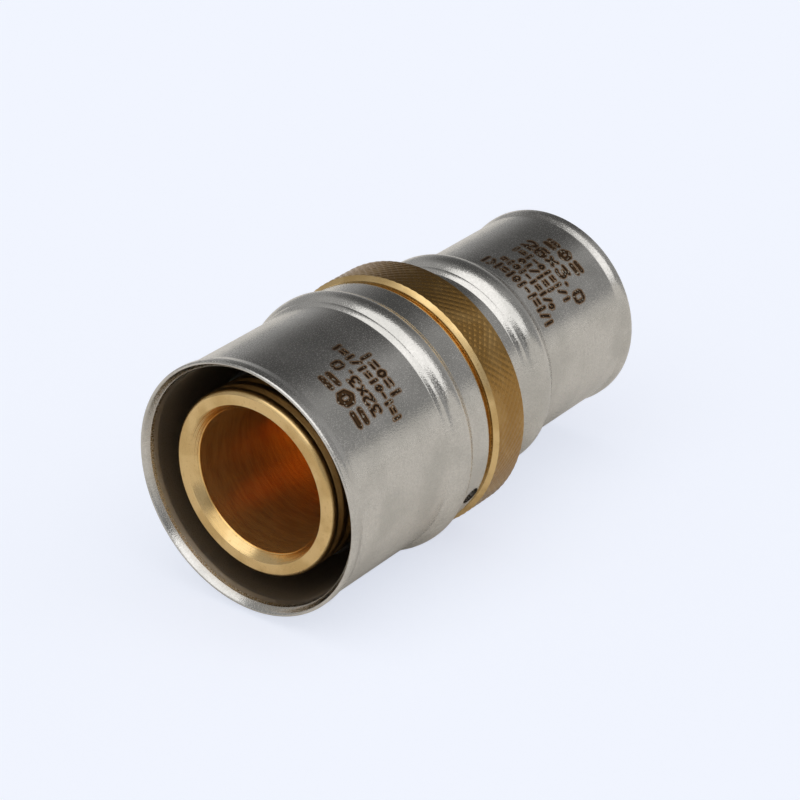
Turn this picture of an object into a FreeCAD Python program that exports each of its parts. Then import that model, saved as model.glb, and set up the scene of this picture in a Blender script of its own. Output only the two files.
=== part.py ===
import FreeCAD, Part

# Straight reducing press coupling that joins two sizes of multilayer pipe.
#
# The axis lies along X, with the large end at -X and the small end at +X, and +Z is up.
# The origin is on the axis, half way between the two sleeve mouths. Each end is drawn
# outward from its own face of the collar as (reach, radius) stations, where reach is the
# distance from that face, and a station becomes a point of the XY plane by End.point().
# Every piece except the windows is a shape turned about the X axis. Sizes are in mm.

import math
import os
from dataclasses import dataclass

# ---- driving dimensions shared by both ends ----

# collar
COLLAR_WIDTH = 6.7
COLLAR_STEP = 1.1            # collar's height above the larger seat ring
COLLAR_CHAMFER = 0.6
RELIEF_WIDTH = 0.3           # fine turned groove at the foot of the collar
RELIEF_DEPTH = 0.3
SEAT_RING_WIDTH = 0.3        # ring that the sleeve's end turns against
SEAT_RING_STEP = 0.45        # seat ring's height above the inside of the sleeve's neck

# hook flange that the sleeve's lip turns behind, and the washer that the pipe stops on
HOOK_WIDTH = 0.7
HOOK_DEPTH = 0.4             # how far the flange reaches past the lip's edge
WASHER_THICKNESS = 1.0
WASHER_TO_NECK = 0.3
WASHER_TO_NIPPLE = 0.03
TURNING_CLEARANCE = 0.05     # each side of the lip, and under its edge

# nipple
NIPPLE_TO_PIPE = 0.1         # radial clearance inside the pipe
NOSE_LENGTH = 0.8
NOSE_DROP = 0.54
MOUTH_CHAMFER_LENGTH = 1.4
MOUTH_CHAMFER_DEPTH = 0.98
FIRST_TOOTH = 1.25           # from the nipple's face to the first grip groove
TOOTH_PITCH = 2.1
TOOTH_FLOOR = 0.3
TOOTH_RAMP = 0.7
TOOTH_DEPTH = 0.5
FRONT_TEETH = 2
SEAL_LAND = 2.35             # land between the front teeth and the first seal
SEAL_PITCH = 5.5
SEAL_SIDE_PLAY = 0.3         # each side of a seal in its gland
SEAL_PROUD = 0.42            # how far a seal's gland is shallower than the seal
SEAL_TO_FLOOR = 0.02
REAR_LAND = 2.0              # land between the last seal and the rear teeth
ROOT_LAND = 1.5              # least land between the rear teeth and the washer

# sleeve
SLEEVE_WALL = 1.0
NECK_RISE = 0.2              # neck's radius over the plain wall's
LIP_DEPTH = 0.95             # how far the lip turns in from the neck
LIP_BEND = 0.1               # each bend radius is that of its inner side
BEAD_BEND = 1.0
FOOT_BEND = 0.7
FLARE_BEND = 5.5
FLARE_LENGTH = 3.2
MOUTH_LENGTH = 0.8           # straight stretch between the flare and the mouth
MOUTH_LEAD = 1.75            # how far the sleeve reaches past the nipple's face
MOUTH_EDGE = 0.35            # rounding of the mouth's two edges
WINDOW_DIAMETER = 2.7
WINDOW_REACH = 2.45          # from the collar's face to a window's centre
WINDOW_COUNT = 2
WINDOW_ANGLE = 206.4         # first window, in degrees about +X from +Y

FULL_TURN = 360.0
AXIS = FreeCAD.Vector(1, 0, 0)
ORIGIN = FreeCAD.Vector(0, 0, 0)

# ---- reaches that both ends share, each from the collar's face ----

SEAT_END = RELIEF_WIDTH + SEAT_RING_WIDTH
LIP_START = SEAT_END + TURNING_CLEARANCE
LIP_END = LIP_START + SLEEVE_WALL
HOOK_START = LIP_END + TURNING_CLEARANCE
HOOK_END = HOOK_START + HOOK_WIDTH
PIPE_STOP = HOOK_END + WASHER_THICKNESS
TOOTH_WIDTH = TOOTH_FLOOR + TOOTH_RAMP


@dataclass(frozen=True)
class End:
    """One end of the coupling: its driving dimensions, and what follows from them."""

    name: str
    outward: int             # -1 where reach grows towards -X, +1 towards +X
    pipe_diameter: float
    pipe_wall: float
    pipe_play: float         # radial, between the pipe and the sleeve
    nipple_length: float     # from the washer to the nipple's face
    core_wall: float         # brass left under a seal's gland
    seal_section: float
    neck_length: float
    bead_height: float       # over the plain wall
    bead_rise: float         # length of the slope on the neck's side
    bead_crest: float
    bead_fall: float         # length of the slope on the mouth's side
    flare: float             # radial

    @property
    def face_x(self):
        return ORIGIN_SHIFT + self.outward * COLLAR_WIDTH / 2

    @property
    def nipple_radius(self):
        return self.pipe_diameter / 2 - self.pipe_wall - NIPPLE_TO_PIPE

    @property
    def gland_radius(self):
        return self.nipple_radius - self.seal_section + SEAL_PROUD

    @property
    def gland_width(self):
        return self.seal_section + 2 * SEAL_SIDE_PLAY

    @property
    def bore_radius(self):
        return self.gland_radius - self.core_wall

    @property
    def nipple_face(self):
        return PIPE_STOP + self.nipple_length

    @property
    def mouth(self):
        return self.nipple_face + MOUTH_LEAD

    @property
    def socket_radius(self):
        return self.pipe_diameter / 2 + self.pipe_play

    @property
    def neck_inside(self):
        return self.socket_radius + NECK_RISE

    @property
    def lip_radius(self):
        return self.neck_inside - LIP_DEPTH

    @property
    def seat_radius(self):
        return self.neck_inside + SEAT_RING_STEP

    @property
    def gland_starts(self):
        """Distances from the nipple's face to the near wall of each seal's gland."""
        first = FIRST_TOOTH + (FRONT_TEETH - 1) * TOOTH_PITCH + TOOTH_WIDTH + SEAL_LAND
        return [first, first + SEAL_PITCH]

    @property
    def tooth_starts(self):
        """Distances from the nipple's face to each grip groove, front and rear."""
        front = [FIRST_TOOTH + i * TOOTH_PITCH for i in range(FRONT_TEETH)]
        rear = self.gland_starts[-1] + self.gland_width + REAR_LAND
        room = self.nipple_length - ROOT_LAND - TOOTH_WIDTH - rear
        count = max(0, math.floor(room / TOOTH_PITCH) + 1)
        return front + [rear + i * TOOTH_PITCH for i in range(count)]

    def point(self, reach, radius):
        return FreeCAD.Vector(self.face_x + self.outward * reach, radius, 0)


LARGE = End(
    name="large", outward=-1, pipe_diameter=32.0, pipe_wall=3.0, pipe_play=0.25,
    nipple_length=24.6, core_wall=1.12, seal_section=2.2, neck_length=4.2,
    bead_height=1.13, bead_rise=1.9, bead_crest=1.2, bead_fall=2.1, flare=0.31,
)
SMALL = End(
    name="small", outward=1, pipe_diameter=26.0, pipe_wall=3.0, pipe_play=0.17,
    nipple_length=25.9, core_wall=1.07, seal_section=2.0, neck_length=4.3,
    bead_height=1.43, bead_rise=1.8, bead_crest=1.8, bead_fall=2.7, flare=0.33,
)
ENDS = (LARGE, SMALL)

# the origin is half way between the mouths, and the collar's middle stands off it by this
ORIGIN_SHIFT = (LARGE.mouth - SMALL.mouth) / 2
COLLAR_RADIUS = max(end.seat_radius for end in ENDS) + COLLAR_STEP


# ---- outlines ----

def lines(points):
    """Straight edges through the points, leaving out any of no length."""
    pairs = zip(points, points[1:])
    return [Part.LineSegment(a, b).toShape() for a, b in pairs if not a.isEqual(b, 1e-6)]


def turned(edges):
    """The solid that the closed outline sweeps about the X axis."""
    wire = Part.Wire(Part.__sortEdges__(edges))
    return Part.Face(wire).revolve(ORIGIN, AXIS, FULL_TURN)


def grip_groove(end, start):
    """Stations of one grip groove, from the root side to its steep wall at the front."""
    wall = end.nipple_face - start
    floor = wall - TOOTH_FLOOR
    top = end.nipple_radius
    return [(floor - TOOTH_RAMP, top), (floor, top - TOOTH_DEPTH), (wall, top - TOOTH_DEPTH),
            (wall, top)]


def gland(end, start):
    """Stations of one square gland for a seal, from the root side outward."""
    near = end.nipple_face - start
    far = near - end.gland_width
    top = end.nipple_radius
    return [(far, top), (far, end.gland_radius), (near, end.gland_radius), (near, top)]


def shoulder(end):
    """Stations from the collar's side face to the hook flange's foot on the nipple."""
    relief = end.seat_radius - RELIEF_DEPTH
    groove = end.lip_radius - TURNING_CLEARANCE
    hook = end.lip_radius + HOOK_DEPTH
    return [(0, COLLAR_RADIUS - COLLAR_CHAMFER), (0, relief), (RELIEF_WIDTH, relief),
            (RELIEF_WIDTH, end.seat_radius), (SEAT_END, end.seat_radius), (SEAT_END, groove),
            (HOOK_START, groove), (HOOK_START, hook), (HOOK_END, hook),
            (HOOK_END, end.nipple_radius)]


def nipple(end):
    """Stations along the outside of the nipple, from its root to where the nose begins."""
    cuts = [grip_groove(end, start) for start in end.tooth_starts]
    cuts += [gland(end, start) for start in end.gland_starts]
    cuts.sort(key=lambda cut: cut[0])
    along = [station for cut in cuts for station in cut]
    return along + [(end.nipple_face - NOSE_LENGTH, end.nipple_radius)]


def nose(end):
    """Edges of the nose: the rounding outside, the flat face and the chamfer inside."""
    top = end.nipple_radius
    face = end.nipple_face
    radius = (NOSE_LENGTH ** 2 + NOSE_DROP ** 2) / (2 * NOSE_DROP)
    half = math.asin(NOSE_LENGTH / radius) / 2
    middle = (face - NOSE_LENGTH + radius * math.sin(half), top - radius * (1 - math.cos(half)))
    rounding = Part.Arc(end.point(face - NOSE_LENGTH, top), end.point(*middle),
                        end.point(face, top - NOSE_DROP)).toShape()
    flat = [(face, top - NOSE_DROP), (face, end.bore_radius + MOUTH_CHAMFER_DEPTH),
            (face - MOUTH_CHAMFER_LENGTH, end.bore_radius), (0, end.bore_radius)]
    return [rounding] + lines([end.point(*station) for station in flat])


def brass_body():
    """The one-piece body: two nipples, and the collar with its stepped bore."""
    rim = COLLAR_RADIUS - COLLAR_CHAMFER
    edges = lines([LARGE.point(0, rim), LARGE.point(-COLLAR_CHAMFER, COLLAR_RADIUS),
                   SMALL.point(-COLLAR_CHAMFER, COLLAR_RADIUS), SMALL.point(0, rim)])
    edges += lines([LARGE.point(0, LARGE.bore_radius), SMALL.point(0, SMALL.bore_radius)])
    for end in ENDS:
        edges += lines([end.point(*station) for station in shoulder(end) + nipple(end)])
        edges += nose(end)
    return turned(edges)


# ---- pieces carried on the body ----

def seal(end, start):
    """One round seal, in the middle of its gland."""
    reach = end.nipple_face - start - end.gland_width / 2
    section = end.seal_section / 2
    centre = FreeCAD.Vector(end.point(reach, 0))
    return Part.makeTorus(end.gland_radius + SEAL_TO_FLOOR + section, section, centre, AXIS)


def washer(end):
    """The insulating washer, flat against the hook flange."""
    inside = end.nipple_radius + WASHER_TO_NIPPLE
    outside = end.neck_inside - WASHER_TO_NECK
    corners = [(HOOK_END, inside), (HOOK_END, outside), (PIPE_STOP, outside),
               (PIPE_STOP, inside), (HOOK_END, inside)]
    return turned(lines([end.point(*station) for station in corners]))


# ---- sleeve ----

def bend(before, corner, after, radius):
    """A round bend in a strip's middle line, as (point, left normal) at its start,
    middle and finish."""
    into = (corner - before).normalize()
    out = (after - corner).normalize()
    halfway = (into + out).normalize()
    side = math.copysign(1, into.x * out.y - into.y * out.x)
    half_turn = into.getAngle(out) / 2
    tangent = radius * math.tan(half_turn)
    start = corner - into * tangent
    centre = start + left(into) * side * radius
    middle = centre - left(halfway) * side * radius
    return [(start, left(into)), (middle, left(halfway)), (corner + out * tangent, left(out))]


def left(direction):
    return FreeCAD.Vector(-direction.y, direction.x, 0)


def strip_side(corners, radii, offset):
    """One side of a strip, as a list of edges that follow its bent middle line."""
    first = left((corners[1] - corners[0]).normalize())
    last = left((corners[-1] - corners[-2]).normalize())
    at = corners[0] + first * offset
    edges = []
    for i, radius in enumerate(radii):
        places = bend(corners[i], corners[i + 1], corners[i + 2], radius)
        start, middle, finish = [point + normal * offset for point, normal in places]
        edges += lines([at, start]) + [Part.Arc(start, middle, finish).toShape()]
        at = finish
    return edges + lines([at, corners[-1] + last * offset])


def mouth_cap(end, radius):
    """The sleeve's mouth: a flat rim between two rounded edges."""
    half = SLEEVE_WALL / 2
    edges = []
    corner = MOUTH_EDGE * (1 - math.sqrt(0.5))
    for side in (-1, 1):
        outer = radius + side * half
        inner = radius + side * (half - MOUTH_EDGE)
        start = end.point(end.mouth - MOUTH_EDGE, outer)
        middle = end.point(end.mouth - corner, radius + side * (half - corner))
        edges.append(Part.Arc(start, middle, end.point(end.mouth, inner)).toShape())
    rim = [end.point(end.mouth, radius - half + MOUTH_EDGE),
           end.point(end.mouth, radius + half - MOUTH_EDGE)]
    return edges + lines(rim)


def sleeve_middle(end):
    """The middle line of the sleeve's wall, from the lip's edge to the mouth, and the
    radius of each of its bends."""
    lip = LIP_START + SLEEVE_WALL / 2
    wall = end.socket_radius + SLEEVE_WALL / 2
    neck = wall + NECK_RISE
    crest = wall + end.bead_height
    neck_end = LIP_START + end.neck_length
    crest_start = neck_end + end.bead_rise
    crest_end = crest_start + end.bead_crest
    flare_end = end.mouth - MOUTH_LENGTH
    stations = [(lip, end.lip_radius), (lip, neck), (neck_end, neck), (crest_start, crest),
                (crest_end, crest), (crest_end + end.bead_fall, wall),
                (flare_end - FLARE_LENGTH, wall), (flare_end, wall + end.flare),
                (end.mouth - MOUTH_EDGE, wall + end.flare)]
    bends = [LIP_BEND, FOOT_BEND, BEAD_BEND, BEAD_BEND, FOOT_BEND, FLARE_BEND, FLARE_BEND]
    radii = [inner + SLEEVE_WALL / 2 for inner in bends]
    return [end.point(*station) for station in stations], radii


def window(end, number):
    """The cutter of one round window through the neck."""
    turn = math.radians(WINDOW_ANGLE + number * FULL_TURN / WINDOW_COUNT)
    outward = FreeCAD.Vector(0, math.cos(turn), math.sin(turn))
    depth = SLEEVE_WALL + 2 * WASHER_TO_NECK
    base = end.point(WINDOW_REACH, 0) + outward * (end.neck_inside - WASHER_TO_NECK / 2)
    return Part.makeCylinder(WINDOW_DIAMETER / 2, depth, base, outward)


def press_sleeve(end):
    """The sleeve: a turned-in lip, a neck with windows, a bead, a wall and a flared mouth."""
    middle, radii = sleeve_middle(end)
    half = SLEEVE_WALL / 2
    edges = strip_side(middle, radii, half) + strip_side(middle, radii, -half)
    edges += lines([end.point(LIP_START, end.lip_radius), end.point(LIP_END, end.lip_radius)])
    edges += mouth_cap(end, middle[-1].y)
    return turned(edges).cut([window(end, number) for number in range(WINDOW_COUNT)])


def pieces():
    """Every piece by the name of its node."""
    found = {"brass_body": brass_body()}
    for end in ENDS:
        found[f"{end.name}_press_sleeve"] = press_sleeve(end)
        found[f"{end.name}_insulating_washer"] = washer(end)
        for place, start in zip(("front", "rear"), end.gland_starts):
            found[f"{end.name}_{place}_o_ring"] = seal(end, start)
    return found


os.makedirs("parts", exist_ok=True)
for node, shape in pieces().items():
    shape.exportStep(f"parts/{node}.step")
    print(f"{node}: valid {shape.isValid()}, {len(shape.Solids)} solid, {shape.Volume:.1f} mm3")
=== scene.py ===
"""Looks for a straight reducing press coupling: turned brass body, two stainless press
sleeves, four rubber seals and two insulating washers.

The axis lies along X with the small end at +X, +Z is up, and the origin is on the axis half
way between the sleeve mouths. Meshes are drawn in millimetres and scaled to metres at the
end.
"""

import logging
import math
from dataclasses import dataclass
from enum import Enum
from typing import Sequence

import bmesh
import bpy
import numpy as np
from mathutils import Matrix, Vector


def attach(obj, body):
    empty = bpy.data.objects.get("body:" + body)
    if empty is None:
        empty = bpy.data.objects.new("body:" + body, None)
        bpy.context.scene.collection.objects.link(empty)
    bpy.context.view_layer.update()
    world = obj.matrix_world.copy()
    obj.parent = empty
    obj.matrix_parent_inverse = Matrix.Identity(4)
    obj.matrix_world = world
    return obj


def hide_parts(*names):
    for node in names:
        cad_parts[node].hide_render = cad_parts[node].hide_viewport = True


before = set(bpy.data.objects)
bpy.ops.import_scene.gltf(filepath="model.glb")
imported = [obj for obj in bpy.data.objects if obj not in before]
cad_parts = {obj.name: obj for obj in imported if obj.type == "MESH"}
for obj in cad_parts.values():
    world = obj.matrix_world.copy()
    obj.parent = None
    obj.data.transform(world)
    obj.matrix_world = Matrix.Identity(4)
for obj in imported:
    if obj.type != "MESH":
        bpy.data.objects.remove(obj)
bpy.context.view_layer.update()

logging.basicConfig(level=logging.INFO, format="%(name)s: %(message)s")
LOG = logging.getLogger("coupling")

MM = 0.001
AXIS = (1.0, 0.0, 0.0)
CENTRE = (0.0, 0.0, 0.0)
EDGE_BREAK = 0.06            # rounding left on a machined edge, in mm
MERGE = 0.0008               # points nearer than this become one point, in mm
MARK_ATTRIBUTE = "burn_edge"  # distance in mm outside the edge of the nearest burnt stroke
# Per-point weight of the painted shade inside a sleeve, which darkens its cavity with depth.
CAVITY_SHADE_ATTRIBUTE = "painted_cavity_shade"  # 1 deep inside a sleeve, 0 outside
FAR_FROM_MARKS = 5.0         # distance in mm stored where no mark is near
ON_FACE = 0.02               # slack in mm when points are picked by their radius
ON_EDGE = 0.001              # slack in mm when edges are picked by their ends' radius
SHORTEST = 1e-9              # least squared length in mm, so that a dot divides too

Colour = tuple[float, float, float]
Span = tuple[float, float]
Triple = tuple[float, float, float]


# -------- shader building


class Wire:
    """A socket that takes part in shader maths."""

    def __init__(self, bench: "Bench", source: object) -> None:
        """Args:
        bench: the node bench that new nodes are added to.
        source: an output socket, or the node itself where it has none.
        """
        self.bench = bench
        self.source = source

    def _maths(self, operation: str, first: object, second: object = 0.0) -> "Wire":
        """Adds one Math node.

        Args:
            operation: the Math node's operation.
            first: a Wire or number for the first input.
            second: a Wire or number for the second input.

        Returns:
            The node's result.
        """
        return self.bench.add("ShaderNodeMath", {"operation": operation}, {0: first, 1: second})

    def __add__(self, other: object) -> "Wire":
        """Sum."""
        return self._maths("ADD", self, other)

    __radd__ = __add__

    def __sub__(self, other: object) -> "Wire":
        """Difference."""
        return self._maths("SUBTRACT", self, other)

    def __rsub__(self, other: object) -> "Wire":
        """Difference, with the number first."""
        return self._maths("SUBTRACT", other, self)

    def __mul__(self, other: object) -> "Wire":
        """Product."""
        return self._maths("MULTIPLY", self, other)

    __rmul__ = __mul__

    def __abs__(self) -> "Wire":
        """Absolute value."""
        return self._maths("ABSOLUTE", self)

    def root(self) -> "Wire":
        """Square root."""
        return self._maths("SQRT", self)

    def most(self, other: object) -> "Wire":
        """The larger of the two."""
        return self._maths("MAXIMUM", self, other)

    def step(self, low: float, high: float) -> "Wire":
        """A smooth rise from 0 at low to 1 at high, or a fall where low is above high.

        Args:
            low: the value that gives 0.
            high: the value that gives 1.

        Returns:
            The rise, held between 0 and 1.
        """
        flipped = low > high
        ends = (high, low) if flipped else (low, high)
        return self.bench.add("ShaderNodeMapRange", {"interpolation_type": "SMOOTHSTEP"},
                              {"Value": self, "From Min": ends[0], "From Max": ends[1],
                               "To Min": float(flipped), "To Max": float(not flipped)})


class Bench:
    """Adds nodes to one tree."""

    def __init__(self, tree: bpy.types.NodeTree) -> None:
        """Args:
        tree: the node tree, which is emptied.
        """
        self.tree = tree
        tree.nodes.clear()

    def add(self, kind: str, settings: dict | None = None, inputs: dict | None = None,
            output: int | str = 0) -> Wire:
        """Adds one node.

        Args:
            kind: the node's type name.
            settings: its properties, set before its sockets.
            inputs: socket name or number to a Wire, number, colour or vector.
            output: the socket that the result is taken from.

        Returns:
            The chosen output.
        """
        node = self.tree.nodes.new(kind)
        for name, value in (settings or {}).items():
            setattr(node, name, value)
        for name, value in (inputs or {}).items():
            socket = node.inputs[name]
            if isinstance(value, Wire):
                self.tree.links.new(value.source, socket)
            elif isinstance(value, tuple) and len(value) == 3 and socket.type == "RGBA":
                socket.default_value = (*value, 1.0)
            else:
                socket.default_value = value
        return Wire(self, node.outputs[output] if node.outputs else node)

    def blend(self, share: object, first: object, second: object) -> Wire:
        """Mixes two colours.

        Args:
            share: how much of the second shows.
            first: a Wire or colour.
            second: a Wire or colour.

        Returns:
            The mixed colour.
        """
        return self.add("ShaderNodeMix", {"data_type": "RGBA"}, {0: share, 6: first, 7: second}, 2)

    def place(self) -> Wire:
        """The point on the piece, in object coordinates."""
        return self.add("ShaderNodeTexCoord", output="Object")

    def stretch(self, vector: Wire, scale: Triple) -> Wire:
        """The vector with each part multiplied by its scale."""
        return self.add("ShaderNodeVectorMath", {"operation": "MULTIPLY"}, {0: vector, 1: scale})

    def read(self, attribute: str) -> Wire:
        """A number stored on the piece's points."""
        return self.add("ShaderNodeAttribute", {"attribute_name": attribute}, output="Fac")

    def grain(self, vector: Wire, scale: float = 1.0, detail: float = 2.0,
              roughness: float = 0.5) -> Wire:
        """Noise, from about 0.3 to 0.7.

        Args:
            vector: where the noise is read.
            scale: its fineness.
            detail: octaves past the first.
            roughness: the share of the finer octaves.

        Returns:
            The noise value.
        """
        return self.add("ShaderNodeTexNoise", {},
                        {"Vector": vector, "Scale": scale, "Detail": detail,
                         "Roughness": roughness})

    def split(self, vector: Wire) -> tuple[Wire, Wire, Wire]:
        """The three parts of a vector."""
        first = self.add("ShaderNodeSeparateXYZ", {}, {0: vector})
        outputs = first.source.node.outputs
        return tuple(Wire(self, outputs[i]) for i in range(3))

    def join(self, x: object, y: object, z: object) -> Wire:
        """A vector from its three parts."""
        return self.add("ShaderNodeCombineXYZ", {}, {0: x, 1: y, 2: z})

    def relief(self, height: Wire, depth: float, before: Wire | None = None) -> Wire:
        """A bumped normal.

        Args:
            height: the pattern, 0 to 1.
            depth: the height in metres that a change of 1 stands for.
            before: a normal to add the relief to.

        Returns:
            The normal.
        """
        inputs = {"Height": height, "Strength": 1.0, "Distance": depth}
        if before is not None:
            inputs["Normal"] = before
        return self.add("ShaderNodeBump", {}, inputs)


def new_material(name: str) -> tuple[bpy.types.Material, Bench]:
    """A material with an empty node tree, and the bench for it."""
    material = bpy.data.materials.new(name)
    material.use_nodes = True
    return material, Bench(material.node_tree)


def finish_surface(bench: Bench, sockets: dict) -> None:
    """Adds the Principled shader with the given sockets and joins it to the output."""
    surface = bench.add("ShaderNodeBsdfPrincipled", {}, sockets)
    bench.add("ShaderNodeOutputMaterial", {}, {"Surface": surface})


# -------- finishes


@dataclass(frozen=True)
class SteelFinish:
    """Satin stainless steel: fine lines round the sleeve, a sparkling grain, burnt marks, and a
    painted shade that darkens the sleeve's inside deeper in from the mouth.

    Scales are per metre, depths in metres. Each edges value holds the distances in mm
    outside a stroke's edge where one tone of the burn begins and where it is full.
    """

    name: str = "satin_stainless"
    colour: Colour = (0.64, 0.622, 0.592)
    dull_colour: Colour = (0.53, 0.518, 0.49)
    pit_colour: Colour = (0.42, 0.41, 0.39)
    # Painted shade: the darker brown that the sleeve's inside is coloured deep in from the mouth.
    cavity_shade_colour: Colour = (0.31, 0.25, 0.18)
    roughness: float = 0.08
    grain_roughness: float = 0.24
    inside_roughness: float = 0.42
    line_scale: Triple = (9000.0, 160.0, 160.0)
    line_depth: float = 0.000006
    coarse_scale: Triple = (2400.0, 40.0, 40.0)
    grain_scale: float = 6200.0
    grain_depth: float = 0.000017
    cloud_scale: float = 160.0
    pit_scale: float = 3100.0
    amber: Colour = (0.30, 0.145, 0.038)
    char: Colour = (0.026, 0.012, 0.004)
    scorch: Colour = (0.080, 0.038, 0.011)
    spot_colour: Colour = (0.62, 0.56, 0.46)
    burn_scale: float = 3600.0
    burn_raggedness: float = 0.14
    burn_depth: float = 0.00002
    amber_edges: Span = (0.30, 0.02)
    char_edges: Span = (0.05, -0.03)
    scorch_edges: Span = (-0.14, -0.24)

    def build(self) -> bpy.types.Material:
        """Returns the material."""
        material, bench = new_material(self.name)
        place = bench.place()
        lines = bench.grain(bench.stretch(place, self.line_scale), detail=3.0)
        coarse_lines = bench.grain(bench.stretch(place, self.coarse_scale), detail=2.0)
        grain = bench.grain(place, self.grain_scale, 1.0)
        cloud = bench.grain(place, self.cloud_scale, 3.0)
        pits = bench.grain(place, self.pit_scale, 3.0, 0.7)
        cavity_shade_weight = bench.read(CAVITY_SHADE_ATTRIBUTE)
        ground = bench.blend(cloud.step(0.38, 0.66), self.colour, self.dull_colour)
        ground = bench.blend(coarse_lines.step(0.5, 0.72) * 0.35, ground, self.dull_colour)
        ground = bench.blend(pits.step(0.56, 0.44) * 0.28, ground, self.pit_colour)
        # Painted shade: the sleeve's inside is coloured darker and browner the deeper it lies.
        ground = bench.blend(cavity_shade_weight, ground, self.cavity_shade_colour)
        roughness = (self.roughness + (lines - 0.5) * 0.12
                     + grain.step(0.46, 0.68) * self.grain_roughness
                     + cavity_shade_weight * self.inside_roughness)

        ragged = (bench.read(MARK_ATTRIBUTE)
                  + (bench.grain(place, self.burn_scale, 2.0) - 0.5) * self.burn_raggedness)
        burnt = ragged.step(*self.char_edges)
        spots = bench.grain(place, self.burn_scale, 0.0).step(0.655, 0.70) * burnt
        tone = bench.blend(ragged.step(*self.amber_edges) * 0.9, ground, self.amber)
        tone = bench.blend(burnt, tone, self.char)
        tone = bench.blend(ragged.step(*self.scorch_edges) * 0.8, tone, self.scorch)
        tone = bench.blend(spots * 0.9, tone, self.spot_colour)

        normal = bench.relief((lines - 0.5) * (1.0 - burnt), self.line_depth)
        normal = bench.relief(grain * (1.0 - cavity_shade_weight), self.grain_depth, normal)
        normal = bench.relief(burnt * -1.0 + spots * 2.0, self.burn_depth, normal)
        finish_surface(bench, {
            "Base Color": tone,
            "Metallic": 1.0 - 0.15 * (burnt - spots).most(0.0),
            "Roughness": (roughness + 0.30 * burnt - 0.3 * spots).most(0.06),
            "Normal": normal,
        })
        return material


@dataclass(frozen=True)
class BrassFinish:
    """Turned brass: cutter lines round the axis, a warm bore, a slightly browned skin, and painted
    shade that darkens the knurled band of the collar.

    Scales are per metre; depths, radii and places in metres.
    """

    name: str = "turned_brass"
    colour: Colour = (0.74, 0.53, 0.255)
    brown: Colour = (0.50, 0.32, 0.115)
    # Painted shade: the knurled band of the collar is coloured dark brown.
    knurl_shade_colour: Colour = (0.34, 0.19, 0.055)
    bore_colour: Colour = (0.93, 0.60, 0.22)
    bore_shade: Colour = (0.80, 0.46, 0.14)
    roughness: float = 0.22
    turning_scale: float = 5500.0
    scratch_scale: Triple = (5200.0, 230.0, 230.0)
    line_depth: float = 0.000008
    hair_scale: Triple = (2400.0, 260.0, 260.0)
    hair_depth: float = 0.00002
    cloud_scale: float = 240.0
    speck_scale: float = 2600.0
    bore_radius: float = 0.01005
    band_middle: float = -0.00065
    band_half: float = 0.00275
    band_radius: float = 0.0174
    chamfer_start: float = 0.0305
    small_chamfer_radius: float = 0.00824
    large_chamfer_more: float = 0.00275
    blur: float = 0.0001

    def build(self) -> bpy.types.Material:
        """Returns the material."""
        material, bench = new_material(self.name)
        place = bench.place()
        x, y, z = bench.split(place)
        radius = (y * y + z * z).root()
        turned = bench.join(x * self.turning_scale, radius * self.turning_scale, y * 12.0)
        lines = bench.grain(turned, detail=3.0)
        scratches = bench.grain(bench.stretch(place, self.scratch_scale), detail=3.0,
                                roughness=0.6)
        hairs = bench.grain(bench.stretch(place, self.hair_scale), detail=4.0, roughness=0.7)
        cloud = bench.grain(place, self.cloud_scale, 3.0)
        specks = bench.grain(place, self.speck_scale, 1.0)
        in_bore = radius.step(self.bore_radius + self.blur, self.bore_radius)
        band = (abs(x - self.band_middle).step(self.band_half + self.blur / 2, self.band_half)
                * radius.step(self.band_radius, self.band_radius + 2 * self.blur))
        chamfer_radius = (self.small_chamfer_radius
                          + self.large_chamfer_more * x.step(0.0, -10 * self.blur))
        chamfer = (abs(x).step(self.chamfer_start, self.chamfer_start + self.blur)
                   * (radius - chamfer_radius).step(self.blur, 0.0))

        tone = bench.blend(cloud.step(0.42, 0.62) * 0.5, self.colour, self.brown)
        tone = bench.blend(specks.step(0.62, 0.72) * 0.4, tone, self.brown)
        bore = bench.blend(hairs.step(0.58, 0.40), self.bore_colour, self.bore_shade)
        tone = bench.blend(in_bore, tone, bore)
        # Painted shade on the knurled band, varied a little by the clouds.
        tone = bench.blend(band * (1.0 - 0.3 * cloud.step(0.45, 0.7)), tone, self.knurl_shade_colour)

        normal = bench.relief(lines * (1.0 + 3.0 * chamfer), self.line_depth)
        normal = bench.relief(scratches, self.line_depth, normal)
        normal = bench.relief(hairs * in_bore, self.hair_depth, normal)
        finish_surface(bench, {
            "Base Color": tone,
            "Metallic": 1.0 - 0.10 * in_bore,
            "Roughness": (self.roughness + (cloud - 0.5) * 0.2 + (lines - 0.5) * 0.12
                          - in_bore * 0.04 + band * 0.05),
            "Normal": normal,
        })
        return material


@dataclass(frozen=True)
class BlackFinish:
    """Black rubber or plastic: a fine matt grain, and paler clouds of bloom or wear."""

    name: str
    colour: Colour
    pale: Colour
    pale_span: Span
    roughness: float
    cloud_scale: float
    grain_scale: float
    grain_depth: float
    detail: float
    cloud_roughness: float = 0.0
    grain_roughness: float = 0.0

    def build(self) -> bpy.types.Material:
        """Returns the material."""
        material, bench = new_material(self.name)
        place = bench.place()
        grain = bench.grain(place, self.grain_scale, self.detail)
        cloud = bench.grain(place, self.cloud_scale, self.detail)
        finish_surface(bench, {
            "Base Color": bench.blend(cloud.step(*self.pale_span), self.colour, self.pale),
            "Roughness": (self.roughness + (cloud - 0.5) * self.cloud_roughness
                          + (grain - 0.5) * self.grain_roughness),
            "Normal": bench.relief(grain, self.grain_depth),
        })
        return material


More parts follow.
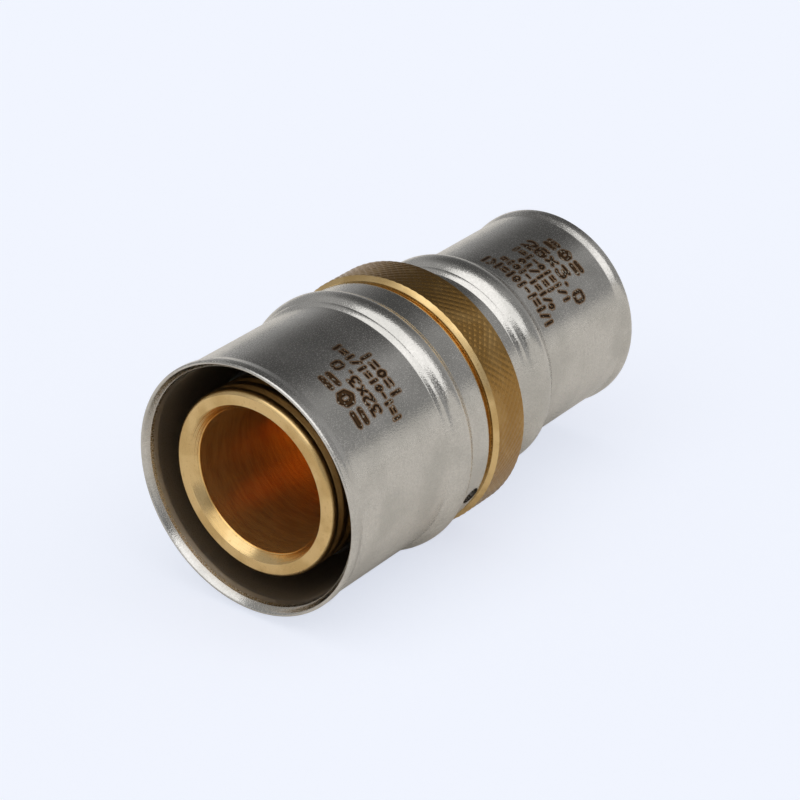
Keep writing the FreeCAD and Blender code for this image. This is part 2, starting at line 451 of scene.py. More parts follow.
NITRILE_RUBBER = BlackFinish(
    name="nitrile_rubber", colour=(0.018, 0.018, 0.019), pale=(0.045, 0.044, 0.042),
    pale_span=(0.4, 0.7), roughness=0.48, cloud_roughness=0.3, cloud_scale=420.0,
    grain_scale=2600.0, grain_depth=0.000012, detail=3.0)
MOULDED_PLASTIC = BlackFinish(
    name="moulded_plastic", colour=(0.030, 0.030, 0.031), pale=(0.060, 0.059, 0.057),
    pale_span=(0.45, 0.7), roughness=0.38, grain_roughness=0.25, cloud_scale=300.0,
    grain_scale=3800.0, grain_depth=0.000010, detail=2.0)


class Slot(Enum):
    """The material slots of the record."""

    BRASS = "brass"
    STEEL = "sleeve_steel"
    RUBBER = "seal_rubber"
    PLASTIC = "washer_plastic"


class Finishes:
    """One built material for each slot."""

    def __init__(self) -> None:
        """Builds the four materials."""
        self.by_slot = {Slot.BRASS: BrassFinish().build(), Slot.STEEL: SteelFinish().build(),
                        Slot.RUBBER: NITRILE_RUBBER.build(),
                        Slot.PLASTIC: MOULDED_PLASTIC.build()}


# -------- mesh helpers


@dataclass(frozen=True)
class Corner:
    """One corner of an outline: its place along the axis, its radius, and its rounding."""

    x: float
    r: float
    rounding: float = EDGE_BREAK
    segments: int = 2

    @property
    def point(self) -> Vector:
        """The corner in the drawing plane."""
        return Vector((self.x, self.r, 0.0))


class TurnedShape:
    """A closed outline that is turned about the axis."""

    def __init__(self, corners: Sequence[Corner], steps: int, row: float | None = None) -> None:
        """Draws, rounds and turns the outline.

        Args:
            corners: the outline's corners, in order.
            steps: how many steps the full turn has.
            row: the longest edge left in the outline, in mm.
        """
        self.bm = bmesh.new()
        verts = [self.bm.verts.new(corner.point) for corner in corners]
        for first, second in zip(verts, verts[1:] + verts[:1]):
            self.bm.edges.new((first, second))
        for i, corner in enumerate(corners):
            self._round(verts[i], corner, corners[i - 1], corners[(i + 1) % len(corners)])
        if row:
            self._divide(row)
        bmesh.ops.spin(self.bm, geom=self.bm.verts[:] + self.bm.edges[:], cent=CENTRE,
                       axis=AXIS, angle=math.tau, steps=steps, use_merge=True)
        bmesh.ops.remove_doubles(self.bm, verts=self.bm.verts, dist=MERGE)
        bmesh.ops.recalc_face_normals(self.bm, faces=self.bm.faces)

    def _round(self, vert: bmesh.types.BMVert, corner: Corner, before: Corner,
               after: Corner) -> None:
        """Rounds one corner of the outline to its radius."""
        if corner.rounding <= 0:
            return
        into = (corner.point - before.point).normalized()
        out = (after.point - corner.point).normalized()
        tangent = corner.rounding * math.tan(into.angle(out) / 2)
        bmesh.ops.bevel(self.bm, geom=[vert], offset=tangent, offset_type="OFFSET",
                        segments=corner.segments, profile=0.5, affect="VERTICES",
                        material=-1, clamp_overlap=False)

    def _divide(self, row: float) -> None:
        """Cuts the outline's long edges so that none is longer than row."""
        for edge in self.bm.edges[:]:
            cuts = math.ceil(edge.calc_length() / row) - 1
            if cuts > 0:
                bmesh.ops.subdivide_edges(self.bm, edges=[edge], cuts=cuts)


def piece_from(bm: bmesh.types.BMesh, name: str, sharp_degrees: float) -> bpy.types.Object:
    """Makes an object of a mesh drawn in mm.

    Args:
        bm: the mesh, which is freed.
        name: the piece's name.
        sharp_degrees: edges that turn by more than this are sharp.

    Returns:
        The object, at the origin, in metres.
    """
    bmesh.ops.scale(bm, vec=(MM, MM, MM), verts=bm.verts)
    mesh = bpy.data.meshes.new(name)
    bm.to_mesh(mesh)
    bm.free()
    mesh.shade_smooth()
    mesh.set_sharp_from_angle(angle=math.radians(sharp_degrees))
    obj = bpy.data.objects.new(name, mesh)
    bpy.context.scene.collection.objects.link(obj)
    return obj


def dress(obj: bpy.types.Object, finishes: Finishes, slot: Slot, body: str, node: str) -> None:
    """Gives a piece its finish, hangs it on the body it rides on, and hides the CAD node that it
    stands for.

    Args:
        obj: the piece.
        finishes: the built materials.
        slot: its material slot.
        body: the CAD body that it moves with.
        node: the CAD node that it stands for.
    """
    obj.data.materials.clear()
    obj.data.materials.append(finishes.by_slot[slot])
    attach(obj, body)
    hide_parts(node)
    LOG.info("%s: %d faces, rides on %s", obj.name, len(obj.data.polygons), body)


# -------- sizes of the two ends


@dataclass(frozen=True)
class CouplingEnd:
    """One end of the coupling. Reach is the distance outward from the collar's face.

    bead holds the reach, the height over the plain wall and the inner bend radius of each
    corner of the sleeve's bead, from the foot on the neck to the foot on the wall.
    """

    name: str
    outward: int
    collar_face: float
    nipple_radius: float
    gland_radius: float
    bore_radius: float
    nipple_face: float
    seal_section: float
    gland_starts: tuple[float, ...]
    tooth_starts: tuple[float, ...]
    wall_inside: float
    bead: tuple[Triple, ...]
    flare: float
    mouth_lead: float = 1.75
    neck_rise: float = 0.2
    lip_depth: float = 0.95
    seat_step: float = 0.45
    gland_play: float = 0.6

    @property
    def mouth(self) -> float:
        """Reach of the sleeve's mouth."""
        return self.nipple_face + self.mouth_lead

    @property
    def neck_inside(self) -> float:
        """Inner radius of the sleeve's neck."""
        return self.wall_inside + self.neck_rise

    @property
    def lip_radius(self) -> float:
        """Radius of the edge of the turned-in lip."""
        return self.neck_inside - self.lip_depth

    @property
    def gland_width(self) -> float:
        """Width of a seal's gland."""
        return self.seal_section + self.gland_play

    def corner(self, reach: float, radius: float, rounding: float = EDGE_BREAK,
               segments: int = 2) -> Corner:
        """A corner at a reach and radius on this end."""
        return Corner(self.collar_face + self.outward * reach, radius, rounding, segments)


LARGE = CouplingEnd(
    name="large", outward=-1, collar_face=-4.0, nipple_radius=12.9, gland_radius=11.12,
    bore_radius=10.0, nipple_face=28.0, seal_section=2.2, gland_starts=(6.7, 12.2),
    tooth_starts=(1.25, 3.35, 17.0, 19.1, 21.2), wall_inside=16.25, flare=0.31,
    bead=((4.8, 0.2, 0.7), (6.05, 1.02, 1.2), (7.0, 1.12, 2.0), (7.9, 0.86, 0.8),
          (8.45, 0.42, 0.25), (8.85, 0.36, 0.25), (9.4, 0.0, 0.3)))
SMALL = CouplingEnd(
    name="small", outward=1, collar_face=2.7, nipple_radius=9.9, gland_radius=8.32,
    bore_radius=7.25, nipple_face=29.3, seal_section=2.0, gland_starts=(6.7, 12.2),
    tooth_starts=(1.25, 3.35, 16.8, 18.9, 21.0, 23.1), wall_inside=13.17, flare=0.33,
    bead=((5.3, 0.2, 0.3), (5.9, 0.62, 0.25), (6.25, 0.68, 0.25), (6.85, 1.12, 0.8),
          (7.6, 1.38, 2.0), (8.5, 1.43, 2.0), (9.2, 1.34, 1.5), (11.4, 0.0, 0.7)))
ENDS = (LARGE, SMALL)


# -------- brass body


@dataclass
class BrassBody:
    """The turned body: two grooved nipples and the knurled collar between them."""

    collar_radius: float = 18.0
    collar_chamfer: float = 0.6
    knurl_valley: float = 17.952
    knurl_rows: int = 10
    steps: int = 188
    crest_inset: float = 0.2
    relief_width: float = 0.3
    relief_depth: float = 0.3
    seat_end: float = 0.6
    hook_start: float = 1.7
    hook_end: float = 2.4
    hook_depth: float = 0.4
    clearance: float = 0.05
    tooth_depth: float = 0.5
    tooth_floor: float = 0.3
    tooth_ramp: float = 0.7
    nose_length: float = 0.8
    nose_drop: float = 0.54
    nose_fill: float = 0.98
    chamfer_length: float = 1.4
    chamfer_depth: float = 0.98
    cone_bend: float = 1.5

    def build(self, finishes: Finishes) -> None:
        """Builds and dresses the body."""
        shape = TurnedShape(self._outline(), self.steps)
        self._knurl(shape.bm)
        obj = piece_from(shape.bm, "turned_brass_body", sharp_degrees=24.0)
        dress(obj, finishes, Slot.BRASS, "body", "brass_body")

    def _outline(self) -> list[Corner]:
        """The closed outline, along the outside from the large end and back by the bore."""
        outside = list(reversed(self._end_outside(LARGE)))
        outside += [Corner(LARGE.collar_face + self.collar_chamfer, self.collar_radius, 0.0),
                    Corner(SMALL.collar_face - self.collar_chamfer, self.collar_radius, 0.0)]
        outside += self._end_outside(SMALL)
        bore = [end.corner(0.0, end.bore_radius, self.cone_bend, 4) for end in (SMALL, LARGE)]
        return outside + bore

    def _end_outside(self, end: CouplingEnd) -> list[Corner]:
        """Corners of one end, from the collar's chamfer out to the chamfer in the mouth."""
        rim = self.collar_radius - self.collar_chamfer
        seat = end.neck_inside + end.seat_step
        relief = seat - self.relief_depth
        groove = end.lip_radius - self.clearance
        hook = end.lip_radius + self.hook_depth
        top = end.nipple_radius
        stations = [(0.0, rim), (0.0, relief), (self.relief_width, relief),
                    (self.relief_width, seat), (self.seat_end, seat), (self.seat_end, groove),
                    (self.hook_start, groove), (self.hook_start, hook), (self.hook_end, hook),
                    (self.hook_end, top)]
        for start in sorted(end.tooth_starts + end.gland_starts, reverse=True):
            wall = end.nipple_face - start
            if start in end.gland_starts:
                far, floor = wall - end.gland_width, end.gland_radius
                stations += [(far, top), (far, floor), (wall, floor), (wall, top)]
            else:
                toe, floor = wall - self.tooth_floor, top - self.tooth_depth
                stations += [(toe - self.tooth_ramp, top), (toe, floor), (wall, floor),
                             (wall, top)]
        corners = [end.corner(*station) for station in stations]
        face = end.nipple_face
        bend = (self.nose_length ** 2 + self.nose_drop ** 2) / (2 * self.nose_drop)
        tangent = bend * math.tan(math.asin(self.nose_length / bend) / 2)
        corners += [end.corner(face - self.nose_length + tangent, top, bend * self.nose_fill, 7),
                    end.corner(face, top - self.nose_drop),
                    end.corner(face, end.bore_radius + self.chamfer_depth),
                    end.corner(face - self.chamfer_length, end.bore_radius)]
        return corners

    def _knurl(self, bm: bmesh.types.BMesh) -> None:
        """Cuts the collar's outside into rows of raised diamonds."""
        start = LARGE.collar_face + self.collar_chamfer
        width = SMALL.collar_face - self.collar_chamfer - start
        row = width / self.knurl_rows
        band = [edge for edge in bm.edges
                if all(abs(math.hypot(v.co.y, v.co.z) - self.collar_radius) < ON_EDGE
                       for v in edge.verts)
                and abs(edge.verts[0].co.x - edge.verts[1].co.x) > width / 2]
        bmesh.ops.subdivide_edges(bm, edges=band, cuts=self.knurl_rows - 1,
                                  use_grid_fill=True)
        valleys, crests = [], []
        for vert in bm.verts:
            radius = math.hypot(vert.co.y, vert.co.z)
            if abs(radius - self.collar_radius) > ON_FACE:
                continue
            along = round((vert.co.x - start) / row)
            around = round(math.atan2(vert.co.z, vert.co.y) / math.tau * self.steps)
            if (along + around) % 2:
                valleys.append(vert)
                drop = radius - self.knurl_valley
                vert.co.y *= self.knurl_valley / radius
                vert.co.z *= self.knurl_valley / radius
                vert.co.x += drop * ((along == self.knurl_rows) - (along == 0))
            elif 0 < along < self.knurl_rows:
                crests.append(vert)
        bmesh.ops.connect_verts(bm, verts=valleys)
        bmesh.ops.dissolve_verts(bm, verts=crests)
        lowered = set(valleys)
        diamonds = [face for face in bm.faces
                    if len(face.verts) == 4 and all(v in lowered for v in face.verts)]
        bmesh.ops.inset_individual(bm, faces=diamonds, thickness=self.crest_inset,
                                   depth=self.collar_radius - self.knurl_valley,
                                   use_even_offset=True)
        LOG.info("knurl: %d diamonds", len(diamonds))


# -------- burnt marks

GLYPH_WIDTH = 0.68  # share of a sign's step that the sign fills
LAST_GAP = 0.15  # share of a step left off after a line's last sign

GLYPHS: dict[str, list[list[tuple[float, float]]]] = {
    "0": [[(0.2, 0.0), (0.75, 0.0), (0.95, 0.2), (0.95, 0.8), (0.75, 1.0), (0.2, 1.0),
           (0.0, 0.8), (0.0, 0.2), (0.2, 0.0)]],
    "2": [[(0.0, 0.85), (0.2, 1.0), (0.75, 1.0), (0.95, 0.82), (0.95, 0.62), (0.0, 0.0),
           (1.0, 0.0)]],
    "3": [[(0.0, 1.0), (0.95, 1.0), (0.45, 0.6), (0.8, 0.58), (0.95, 0.4), (0.95, 0.18),
           (0.75, 0.0), (0.15, 0.0), (0.0, 0.15)]],
    "6": [[(0.85, 1.0), (0.25, 1.0), (0.0, 0.75), (0.0, 0.2), (0.2, 0.0), (0.75, 0.0),
           (0.95, 0.18), (0.95, 0.4), (0.78, 0.56), (0.05, 0.56)]],
    "x": [[(0.05, 0.1), (0.85, 0.8)], [(0.05, 0.8), (0.85, 0.1)]],
    ".": [[(0.2, 0.02), (0.3, 0.02)]],
    "|": [[(0.4, 0.0), (0.4, 1.0)]],
    "=": [[(0.0, 0.25), (0.8, 0.25)], [(0.0, 0.75), (0.8, 0.75)]],
    "-": [[(0.05, 0.5), (0.75, 0.5)]],
    "/": [[(0.0, 0.0), (0.8, 1.0)]],
    ">": [[(0.1, 0.0), (0.8, 0.5), (0.1, 1.0)]],
    "o": [[(0.4, 0.1), (0.75, 0.3), (0.75, 0.7), (0.4, 0.9), (0.05, 0.7), (0.05, 0.3),
           (0.4, 0.1)]],
}


@dataclass(frozen=True)
class MarkLine:
    """One burnt line round a sleeve.

    low and high are the line's feet and tops, as distances along the axis in mm. first and
    last are its angles about the axis in degrees, where it begins and ends.
    """

    signs: str
    low: float
    high: float
    first: float
    last: float
    stroke: float

    def strokes(self, radius: float) -> list[tuple[float, float, float, float, float]]:
        """Straight strokes on the unrolled sleeve.

        Args:
            radius: the sleeve's outer radius in mm.

        Returns:
            For each stroke the two ends (x, arc, x, arc) and half its width, in mm.
        """
        arc = math.radians(1.0) * radius
        begin, finish = self.first * arc, self.last * arc
        advance = (finish - begin) / (len(self.signs) - LAST_GAP)
        width = advance * GLYPH_WIDTH
        found = []
        for i, sign in enumerate(self.signs):
            for run in GLYPHS[sign]:
                points = [(self.low + v * (self.high - self.low), begin + i * advance + u * width)
                          for u, v in run]
                found += [(*a, *b, self.stroke / 2) for a, b in zip(points, points[1:])]
        return found


class Engraver:
    """Stores on a sleeve's points how near the burnt strokes are, and how much painted shade the
    inside of the sleeve gets.
    """

    margin: float = 0.5  # mm past the marks that are divided too
    angle_margin: float = 3.0  # degrees past the marks that are divided too
    skin: float = 0.1  # mm under the outside that still counts as outside
    # The next two place the painted shade inside the sleeve: none this near the mouth or on the
    # outside, then over the next span the inside turns rougher and is painted darker; the darker
    # colour is painted shade.
    bright_mouth: float = 0.35  # mm from the mouth, and under the outside, that stay bright
    shade_rise: float = 2.2  # mm over which the inside turns dull

    def __init__(self, lines: Sequence[MarkLine], radius: float) -> None:
        """Args:
        lines: the sleeve's marks.
        radius: the sleeve's outer radius in mm.
        """
        self.lines = lines
        self.radius = radius
        self.strokes = np.array([s for line in lines for s in line.strokes(radius)])

    def refine(self, bm: bmesh.types.BMesh, cuts: int) -> None:
        """Divides the faces under the marks, and sets them on the round again.

        Args:
            bm: the sleeve's mesh, in mm.
            cuts: cuts across each face.
        """
        places = [place for line in self.lines for place in (line.low, line.high)]
        angles = [angle for line in self.lines for angle in (line.first, line.last)]
        low, high = min(places) - self.margin, max(places) + self.margin
        first, last = min(angles) - self.angle_margin, max(angles) + self.angle_margin
        under = []
        for face in bm.faces:
            centre = face.calc_center_median()
            angle = math.degrees(math.atan2(centre.z, centre.y)) % 360.0
            if (low < centre.x < high and first < angle < last
                    and math.hypot(centre.y, centre.z) > self.radius - self.skin):
                under.append(face)
        edges = list({edge for face in under for edge in face.edges})
        bmesh.ops.subdivide_edges(bm, edges=edges, cuts=cuts, use_grid_fill=True)
        for vert in bm.verts:
            radius = math.hypot(vert.co.y, vert.co.z)
            if low - 1 < vert.co.x < high + 1 and abs(radius - self.radius) < ON_FACE:
                vert.co.y *= self.radius / radius
                vert.co.z *= self.radius / radius

    def write(self, mesh: bpy.types.Mesh) -> None:
        """Stores both numbers on the finished mesh, which is in metres."""
        points = np.empty(len(mesh.vertices) * 3)
        mesh.vertices.foreach_get("co", points)
        x, y, z = points.reshape(-1, 3).T / MM
        arc = np.arctan2(z, y) % math.tau * self.radius
        radius = np.hypot(y, z)
        nearest = np.full(len(x), FAR_FROM_MARKS)
        for x0, a0, x1, a1, half in self.strokes:
            run_x, run_a = x1 - x0, a1 - a0
            length = max(run_x * run_x + run_a * run_a, SHORTEST)
            share = np.clip(((x - x0) * run_x + (arc - a0) * run_a) / length, 0.0, 1.0)
            gap = np.hypot(x - x0 - share * run_x, arc - a0 - share * run_a) - half
            nearest = np.minimum(nearest, gap)
        nearest[radius <= self.radius - self.skin] = FAR_FROM_MARKS
        # Weight of the painted shade inside the sleeve: 0 near the mouth and on the outside,
        # rising to 1 deeper in.
        depth = np.abs(x).max() - np.abs(x)
        cavity_shade_weight = np.clip((depth - self.bright_mouth) / self.shade_rise, 0.0, 1.0)
        cavity_shade_weight *= radius < self.radius - self.bright_mouth
        for name, values in ((MARK_ATTRIBUTE, nearest), (CAVITY_SHADE_ATTRIBUTE, cavity_shade_weight)):
            attribute = mesh.attributes.new(name, "FLOAT", "POINT")
            attribute.data.foreach_set("value", values.astype(np.float32))


# -------- press sleeves


@dataclass
class PressSleeve:
    """A pressed sleeve: turned-in lip, neck with two windows, bead, wall, flared mouth."""

    end: CouplingEnd
    marks: tuple[MarkLine, ...]
    wall: float = 1.0
    lip_start: float = 0.65
    lip_bend: float = 0.1
    lip_outer_bend: float = 0.5
    flare_bend: float = 0.9
    flare_length: float = 1.15
    mouth_length: float = 1.0
    mouth_edge: float = 0.3
    mouth_bell: Span = (1.1, 0.6)
    mouth_bell_bends: Span = (0.35, 1.2)
    bend_segments: int = 6
    rim_segments: int = 5
    window_diameter: float = 2.7
    window_reach: float = 2.45
    window_angles: Span = (206.4, 26.4)
    window_sides: int = 56
    steps: int = 256
    row: float = 0.5
    mark_cuts: int = 3

    def build(self, finishes: Finishes) -> None:
        """Builds, marks and dresses the sleeve."""
        shape = TurnedShape(self._outline(), self.steps, self.row)
        bm = self._cut_windows(shape.bm)
        engraver = Engraver(self.marks, self.end.wall_inside + self.wall)
        engraver.refine(bm, self.mark_cuts)
        obj = piece_from(bm, f"{self.end.name}_sleeve", sharp_degrees=40.0)
        engraver.write(obj.data)
        dress(obj, finishes, Slot.STEEL, f"{self.end.name}_sleeve",
              f"{self.end.name}_press_sleeve")

    def _middle(self) -> list[tuple[Corner, float]]:
        """Corners of the wall's middle line from the lip to the mouth, each with the
        radius on the inner side of its bend."""
        end, half = self.end, self.wall / 2
        lip = self.lip_start + half
        wall = end.wall_inside + half
        flare_end = end.mouth - self.mouth_length
        stations = [(lip, end.lip_radius, 0.0), (lip, end.neck_inside + half, self.lip_bend)]
        stations += [(reach, wall + height, bend) for reach, height, bend in end.bead]
        stations += [(flare_end - self.flare_length, wall, self.flare_bend),
                     (flare_end, wall + end.flare, self.flare_bend),
                     (end.mouth, wall + end.flare, 0.0)]
        return [(end.corner(reach, radius), bend) for reach, radius, bend in stations]

    def _side(self, side: int) -> list[Corner]:
        """One side of the wall, half its thickness off the middle line.

        Args:
            side: 1 for the left of the line's direction, -1 for the right.

        Returns:
            Corners whose roundings follow the bends.
        """
        middle = self._middle()
        corners = []
        for i, (corner, bend) in enumerate(middle):
            before = middle[max(i - 1, 0)][0].point
            after = middle[min(i + 1, len(middle) - 1)][0].point
            into = ((corner.point - before) or (after - corner.point)).normalized()
            out = ((after - corner.point) or (corner.point - before)).normalized()
            normals = [Vector((-d.y, d.x, 0.0)) * side for d in (into, out)]
            shift = (normals[0] + normals[1]) / (1.0 + normals[0].dot(normals[1]))
            place = corner.point + shift * self.wall / 2
            turning = into.x * out.y - into.y * out.x
            outer_side = turning * side < 0
            rounding = bend + self.wall * outer_side if bend else 0.0
            if i == 1 and outer_side:
                rounding = self.lip_outer_bend
            corners.append(Corner(place.x, place.y, rounding, self.bend_segments))
        return corners

    def _outline(self) -> list[Corner]:
        """The closed outline: out along the outside, round the mouth and back inside."""
        outside, inside = sorted((self._side(1), self._side(-1)), key=lambda c: -c[-1].r)
        length, depth = self.mouth_bell
        mouth, inner = outside[-1].x, inside[-1].r
        sharp, soft = self.mouth_bell_bends
        rim = [Corner(mouth, outside[-1].r, self.mouth_edge, self.rim_segments),
               Corner(mouth, inner + depth, sharp, self.rim_segments),
               Corner(mouth - self.end.outward * length, inner, soft, self.bend_segments)]
        lip = [Corner(c.x, c.r, EDGE_BREAK) for c in (inside[0], outside[0])]
        return outside[1:-1] + rim + inside[-2:0:-1] + lip

    def _cut_windows(self, bm: bmesh.types.BMesh) -> bmesh.types.BMesh:
        """Cuts the round windows through the neck.

        Args:
            bm: the plain sleeve, which is freed.

        Returns:
            The cut mesh, still in mm.
        """
        collection = bpy.context.scene.collection
        blank = bpy.data.objects.new("sleeve_blank", bpy.data.meshes.new("sleeve_blank"))
        bm.to_mesh(blank.data)
        bm.free()
        collection.objects.link(blank)
        cutters = [self._cutter(angle) for angle in self.window_angles]
        for cutter in cutters:
            cut = blank.modifiers.new(cutter.name, "BOOLEAN")
            cut.operation, cut.object, cut.solver = "DIFFERENCE", cutter, "EXACT"
        graph = bpy.context.evaluated_depsgraph_get()
        result = bmesh.new()
        result.from_mesh(blank.evaluated_get(graph).data)
        bmesh.ops.remove_doubles(result, verts=result.verts, dist=MERGE)
        for obj in [blank, *cutters]:
            bpy.data.objects.remove(obj)
        return result

    def _cutter(self, angle: float) -> bpy.types.Object:
        """The round cutter of one window, at an angle in degrees about the axis."""
        bm = bmesh.new()
        radius = self.window_diameter / 2
        bmesh.ops.create_cone(bm, cap_ends=True, segments=self.window_sides, radius1=radius,
                              radius2=radius, depth=3 * self.wall)
        middle = self.end.neck_inside + self.wall / 2
        bmesh.ops.rotate(bm, verts=bm.verts, matrix=Matrix.Rotation(-math.pi / 2, 3, "X"))
        bmesh.ops.translate(bm, verts=bm.verts,
                            vec=(self.end.corner(self.window_reach, 0).x, middle, 0))
        bmesh.ops.rotate(bm, verts=bm.verts, cent=CENTRE,
                         matrix=Matrix.Rotation(math.radians(angle), 3, "X"))
        mesh = bpy.data.meshes.new("window_cutter")
        bm.to_mesh(mesh)
        bm.free()
        cutter = bpy.data.objects.new("window_cutter", mesh)
        bpy.context.scene.collection.objects.link(cutter)
        return cutter


# -------- seals and washers


@dataclass
class SealRing:
    """A round rubber seal with the fine parting line of its mould.

    start is the reach inward from the nipple's face where the seal's gland begins.
    """

    end: CouplingEnd
    position: str
    start: float
    to_floor: float = 0.02
    flash: float = 0.03
    sides: int = 24
    steps: int = 128

    def build(self, finishes: Finishes) -> None:
        """Builds and dresses the seal."""
        half = self.end.seal_section / 2
        reach = self.end.nipple_face - self.start - self.end.gland_width / 2
        centre = self.end.gland_radius + self.to_floor + half
        corners = []
        for i in range(self.sides):
            angle = math.tau * i / self.sides
            size = half if i % (self.sides // 2) else half + self.flash
            corners.append(self.end.corner(reach + math.cos(angle) * (size - self.flash),
                                           centre + math.sin(angle) * half, 0.0))
        shape = TurnedShape(corners, self.steps)
        node = f"{self.end.name}_{self.position}_o_ring"
        obj = piece_from(shape.bm, f"{node}_rubber", sharp_degrees=50.0)
        dress(obj, finishes, Slot.RUBBER, "body", node)


@dataclass
class InsulatingWasher:
    """The flat plastic washer that keeps the pipe's metal off the brass."""

    end: CouplingEnd
    near: float = 2.4
    thickness: float = 1.0
    inside_gap: float = 0.03
    outside_gap: float = 0.3
    edge: float = 0.12
    steps: int = 128

    def build(self, finishes: Finishes) -> None:
        """Builds and dresses the washer."""
        inside = self.end.nipple_radius + self.inside_gap
        outside = self.end.neck_inside - self.outside_gap
        far = self.near + self.thickness
        stations = [(self.near, inside), (self.near, outside), (far, outside), (far, inside)]
        shape = TurnedShape([self.end.corner(*s, self.edge, 3) for s in stations], self.steps)
        node = f"{self.end.name}_insulating_washer"
        obj = piece_from(shape.bm, f"{node}_plastic", sharp_degrees=40.0)
        dress(obj, finishes, Slot.PLASTIC, "body", node)


# -------- studio


@dataclass(frozen=True)
class Panel:
    """A round patch of the studio's surroundings, seen by the object and not the camera.

    azimuth is from +X towards +Y. inner and outer are the angles from the patch's middle
    where it starts to fade and where it is gone. All are in degrees.
    """

    azimuth: float
    elevation: float
    inner: float
    outer: float
    light: Colour

    @property
    def direction(self) -> Vector:
        """Unit vector towards the panel's middle."""
        a, e = math.radians(self.azimuth), math.radians(self.elevation)
        return Vector((math.cos(a) * math.cos(e), math.sin(a) * math.cos(e), math.sin(e)))


def grey(level: float) -> Colour:
    """A neutral colour of the given level."""
    return (level, level, level)


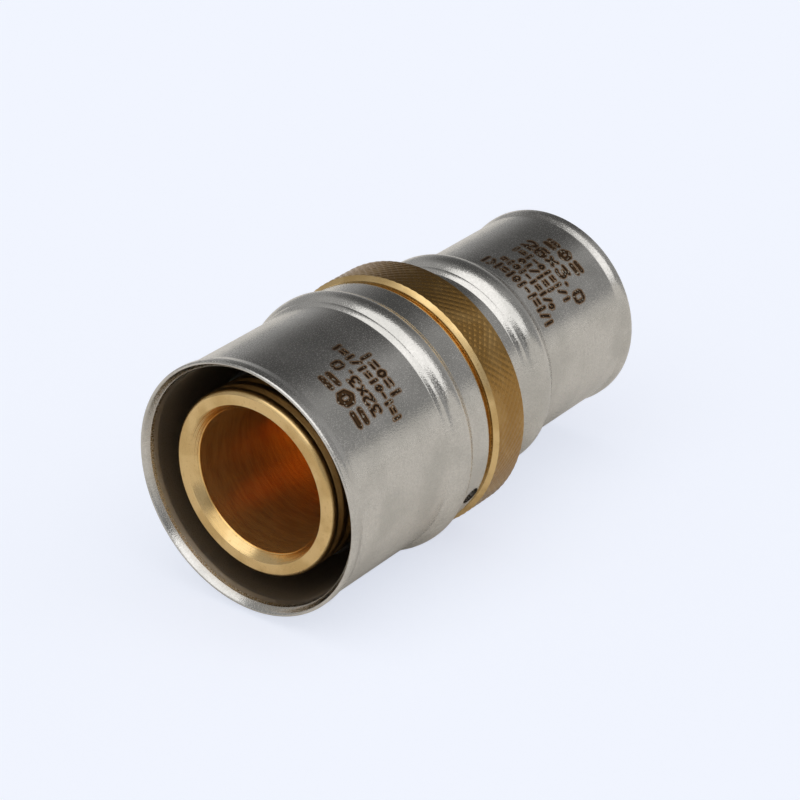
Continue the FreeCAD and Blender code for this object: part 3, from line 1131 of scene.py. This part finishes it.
@dataclass
class Studio:
    """Pale floor, soft surroundings and the camera.

    Lengths are in mm, but for clip in metres. The camera's azimuth is from -Y towards +X.
    Sides in the panels' notes are as the camera sees them.
    """

    background: Colour = (0.871, 0.905, 0.991)
    surround: float = 0.42
    floor_level: float = -18.38
    floor_radius: float = 2500.0
    floor_colour: Colour = (0.84, 0.84, 0.85)
    floor_bounce: Colour = (0.86, 0.83, 0.785)
    floor_glow: Colour = (0.843, 0.888, 1.0)
    floor_glow_strength: float = 1.155
    floor_shadow: float = 0.35
    aim: Triple = (-17.585, -12.448, 10.145)
    distance: float = 346.7
    azimuth: float = -52.8
    elevation: float = 27.8
    lens: float = 123.75
    sensor_width: float = 36.0
    clip: Span = (0.01, 20.0)
    floor_sides: int = 96
    panels: tuple[Panel, ...] = (
        Panel(180.0, 35.0, 25.0, 42.0, grey(0.80)),  # fill beyond the large mouth
        Panel(26.0, 38.0, 2.0, 38.0, grey(0.11)),  # dark room behind the object
        Panel(-38.0, 26.0, 12.0, 22.0, grey(0.34)),  # dim wall on the right
        Panel(-102.0, 31.0, 8.0, 18.0, grey(0.22)),  # dark flag right of the camera
        Panel(-150.0, 72.0, 34.0, 40.0, grey(1.5)),  # light overhead
        Panel(-72.0, 47.0, 17.0, 22.0, grey(1.4)),  # light high on the right
        Panel(-75.0, -20.0, 43.5, 45.2, (0.72, 0.70, 0.665)),  # pale band low on the right
    )

    def build(self) -> None:
        """Builds the floor, the surroundings and the camera."""
        bpy.context.scene.view_settings.view_transform = "Standard"
        self._surroundings()
        self._floor()
        self._camera()

    def _surroundings(self) -> None:
        """The world: panels for the object, a plain pale colour for the camera."""
        world = bpy.data.worlds.new("studio")
        world.use_nodes = True
        bpy.context.scene.world = world
        bench = Bench(world.node_tree)
        towards = bench.add("ShaderNodeTexCoord", output="Generated")
        light = grey(self.surround)
        for panel in self.panels:
            facing = bench.add("ShaderNodeVectorMath", {"operation": "DOT_PRODUCT"},
                               {0: towards, 1: tuple(panel.direction)}, "Value")
            near = facing.step(math.cos(math.radians(panel.outer)),
                               math.cos(math.radians(panel.inner)))
            light = bench.blend(near, light, panel.light)
        seen = bench.add("ShaderNodeLightPath", output="Is Camera Ray")
        shown = bench.blend(seen, light, self.background)
        glow = bench.add("ShaderNodeBackground", {}, {"Color": shown, "Strength": 1.0})
        bench.add("ShaderNodeOutputWorld", {}, {"Surface": glow})

    def _floor(self) -> None:
        """A round pale floor that keeps a faint shadow of the object."""
        bm = bmesh.new()
        bmesh.ops.create_circle(bm, cap_ends=True, segments=self.floor_sides,
                                radius=self.floor_radius)
        bmesh.ops.translate(bm, verts=bm.verts, vec=(0, 0, self.floor_level))
        floor = piece_from(bm, "studio_floor", sharp_degrees=40.0)
        material, bench = new_material("pale_floor")
        seen = bench.add("ShaderNodeLightPath", output="Is Camera Ray")
        matt = bench.add("ShaderNodeBsdfDiffuse", {}, {
            "Color": bench.blend(seen, self.floor_bounce, self.floor_colour)})
        glow = bench.add("ShaderNodeEmission", {}, {"Color": self.floor_glow,
                                                    "Strength": self.floor_glow_strength})
        shown = bench.add("ShaderNodeMixShader", {},
                          {0: seen * (1.0 - self.floor_shadow), 1: matt, 2: glow})
        bench.add("ShaderNodeOutputMaterial", {}, {"Surface": shown})
        floor.data.materials.append(material)

    def _camera(self) -> None:
        """The camera, and makes it the scene's."""
        a, e = math.radians(self.azimuth), math.radians(self.elevation)
        back = Vector((math.sin(a) * math.cos(e), -math.cos(a) * math.cos(e), math.sin(e)))
        right = Vector((math.cos(a), math.sin(a), 0.0))
        up = back.cross(right)
        turn = Matrix((right, up, back)).transposed()
        data = bpy.data.cameras.new("camera")
        data.lens, data.sensor_width = self.lens, self.sensor_width
        data.clip_start, data.clip_end = self.clip
        camera = bpy.data.objects.new("camera", data)
        place = (Vector(self.aim) + back * self.distance) * MM
        camera.matrix_world = Matrix.Translation(place) @ turn.to_4x4()
        bpy.context.scene.collection.objects.link(camera)
        bpy.context.scene.camera = camera


# -------- the whole coupling

LARGE_MARKS = (
    MarkLine("=o=", -24.95, -27.75, 141.0, 112.6, 0.78),
    MarkLine("32x3.0", -22.55, -24.05, 140.6, 111.4, 0.34),
    MarkLine("|=|-o|=|/|=|", -20.1, -21.3, 147.4, 104.4, 0.34),
    MarkLine("|=o=|", -17.9, -19.5, 138.4, 114.4, 0.38),
)
SMALL_MARKS = (
    MarkLine("=o=", 26.15, 28.25, 107.4, 135.4, 0.66),
    MarkLine("26x3.0", 23.45, 25.2, 100.4, 148.4, 0.44),
    MarkLine("|=|-o|=|/|", 21.3, 22.4, 99.4, 144.4, 0.34),
    MarkLine("o|/|=|", 19.6, 20.7, 108.4, 135.4, 0.34),
    MarkLine("=|o|-|=|/o", 17.85, 18.95, 101.4, 143.4, 0.34),
    MarkLine("|>|=|o|-|=|/|", 15.6, 17.1, 94.4, 150.4, 0.36),
)


def main() -> None:
    """Builds every piece, then the studio."""
    finishes = Finishes()
    BrassBody().build(finishes)
    for end, marks in zip(ENDS, (LARGE_MARKS, SMALL_MARKS)):
        PressSleeve(end, marks).build(finishes)
        InsulatingWasher(end).build(finishes)
        for position, start in zip(("front", "rear"), end.gland_starts):
            SealRing(end, position, start).build(finishes)
    Studio().build()


if __name__ == "__main__":
    main()
